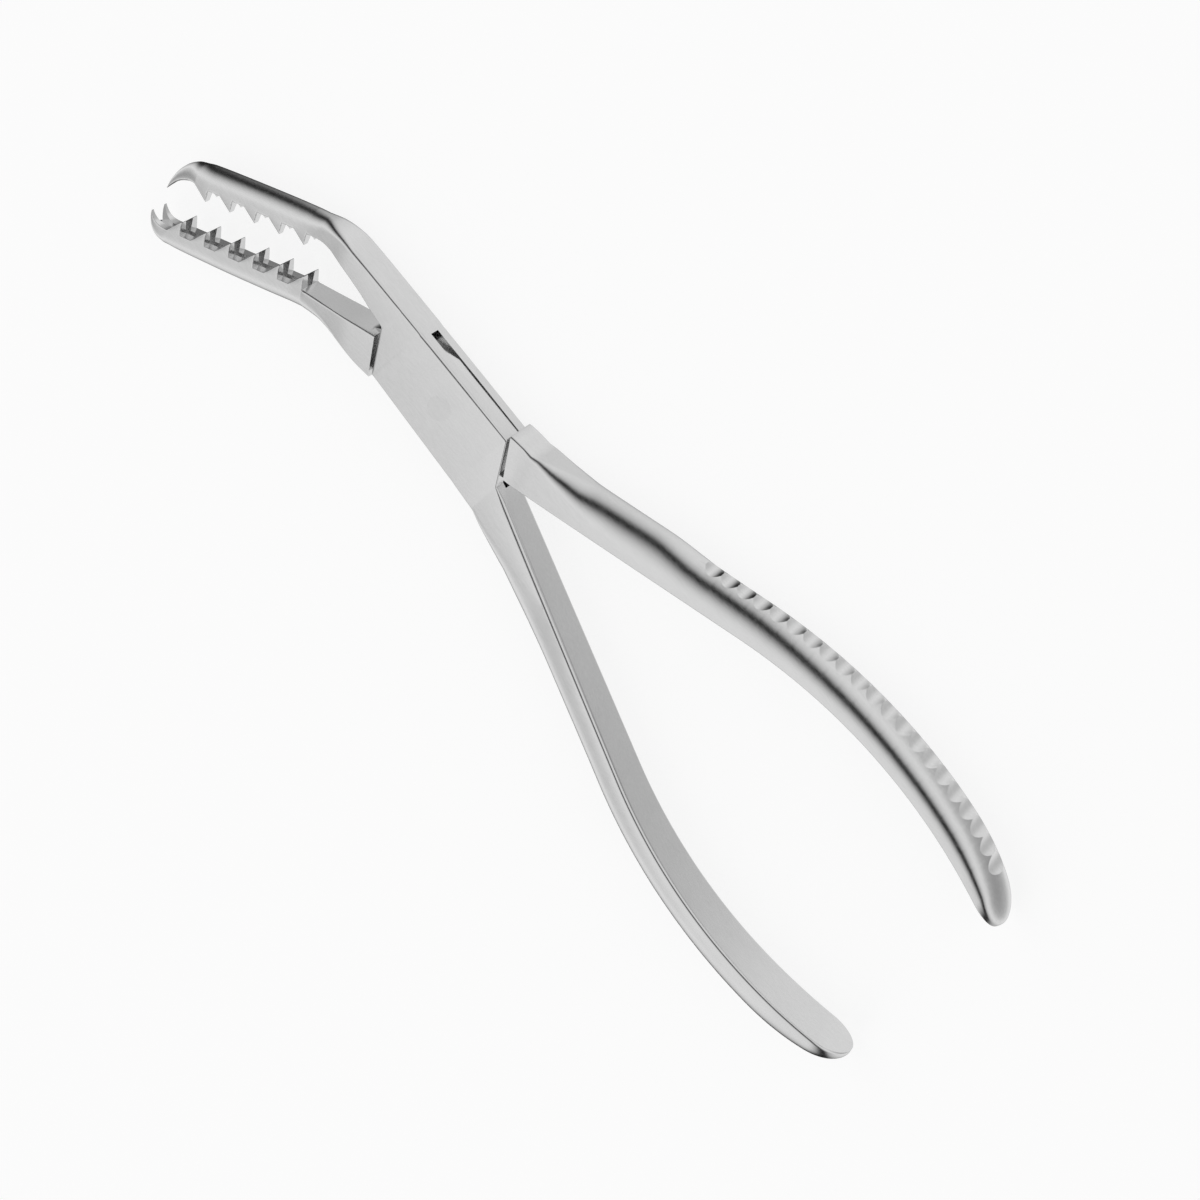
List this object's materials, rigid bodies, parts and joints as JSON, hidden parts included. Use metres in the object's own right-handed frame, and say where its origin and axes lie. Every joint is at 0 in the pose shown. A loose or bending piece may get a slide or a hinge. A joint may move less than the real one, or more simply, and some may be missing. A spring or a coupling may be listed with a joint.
{
  "type": "toothed box-joint pliers",
  "caption": "Hand pliers with a box joint, angled jaws with two rows of saw teeth, a beak that nests between prongs, and scalloped handles.",
  "frame": {"origin": "on the pivot axis, on the outer face of the lower cheek of the box", "axes": "+X along the box to the jaw tips, +Z along the pivot axis, from the lower cheek to the upper one"},
  "size_m": [0.2159, 0.0702, 0.0118],
  "materials": {
    "satin_steel": "satin stainless steel with polished rounded sides",
    "pin_steel": "satin stainless steel, ground flush"
  },
  "bodies": {
    "box_arm": {"box_arm": "satin_steel", "pivot_pin": "pin_steel"},
    "tongue_arm": {"tongue_arm": "satin_steel"}
  },
  "joints": [
    {"name": "pivot", "type": "hinge", "parent": "box_arm", "child": "tongue_arm", "pos_m": [0, 0, 0.0042], "axis": [0, 0, -1], "range_deg": [-25, 5.4]}
  ]
}
